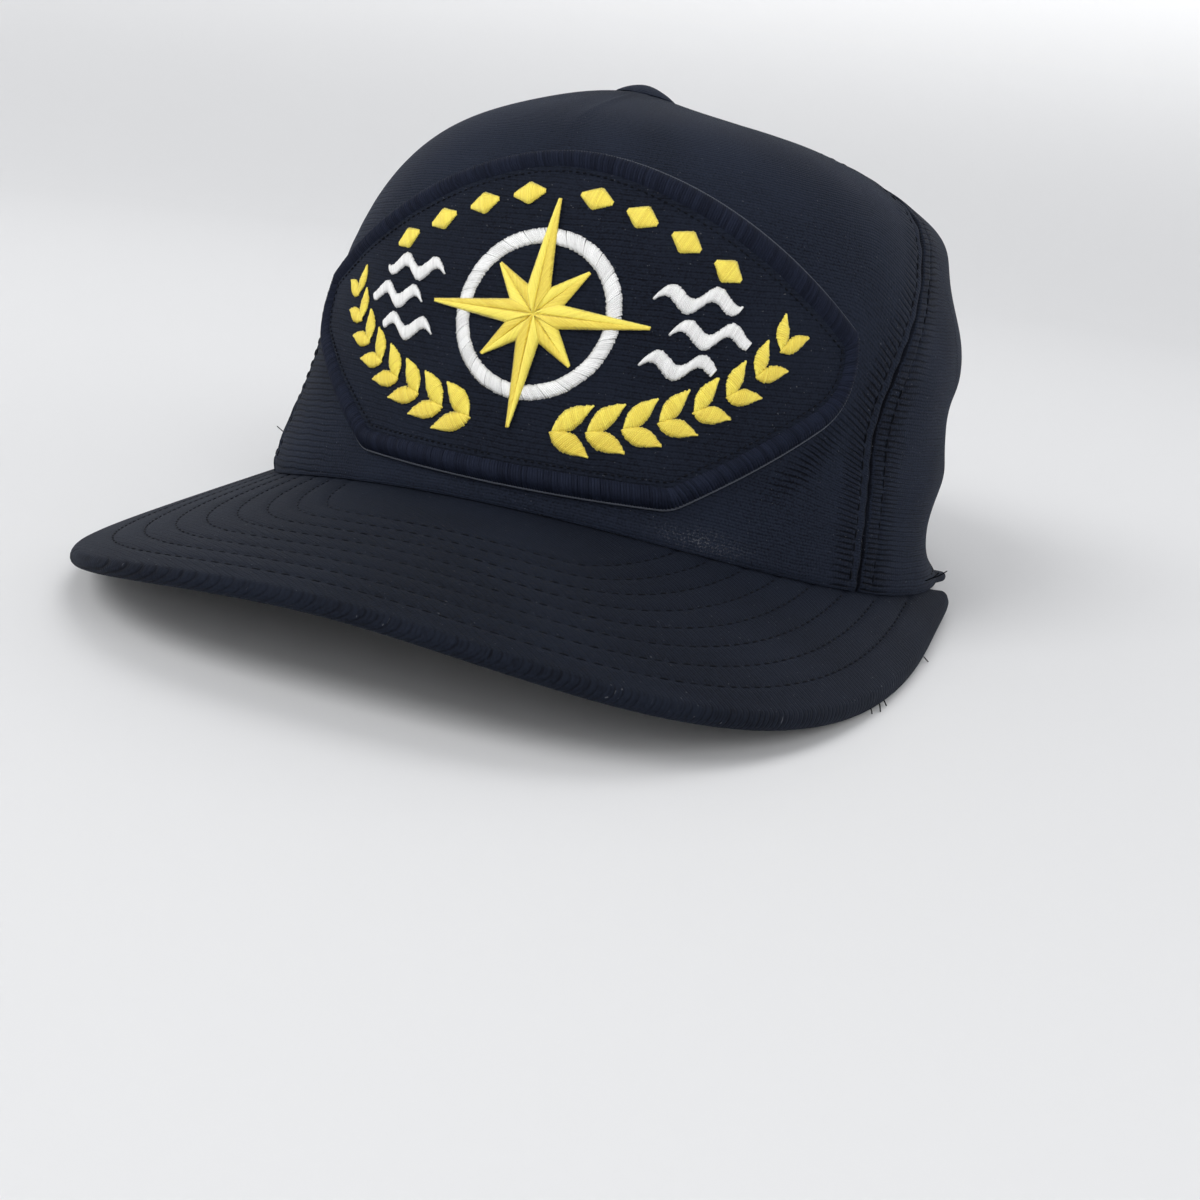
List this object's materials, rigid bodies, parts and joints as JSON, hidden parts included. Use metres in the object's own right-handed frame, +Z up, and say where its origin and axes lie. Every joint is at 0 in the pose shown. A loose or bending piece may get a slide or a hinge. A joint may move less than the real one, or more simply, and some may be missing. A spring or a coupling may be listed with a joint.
{
  "type": "snapback cap",
  "caption": "Dark navy snapback cap with a stiff front panel, a flat stitched visor and a large embroidered patch, set down on its rim.",
  "frame": {"origin": "floor under the middle of the cap's box, as it rests", "axes": "+Z up from the floor, +Y from the visor to the back of the crown, +X to the wearer's left"},
  "size_m": [0.186, 0.2739, 0.1155],
  "materials": {
    "cloth": "matte rib-knit polyester, dark navy",
    "patch_ground": "fine matte twill, very dark navy",
    "border_thread": "wrapped overlock thread with a soft sheen",
    "yellow_thread": "satin embroidery thread, yellow",
    "white_thread": "satin embroidery thread, white",
    "strap": "moulded, satin"
  },
  "bodies": {
    "root": {"front_panel": "cloth", "side_panel_left": "cloth", "side_panel_right": "cloth", "back_panel_left": "cloth", "back_panel_right": "cloth", "visor": "cloth", "patch": "patch_ground", "patch_border": "border_thread", "snap_strap": "strap", "top_button": "cloth"}
  },
  "joints": []
}
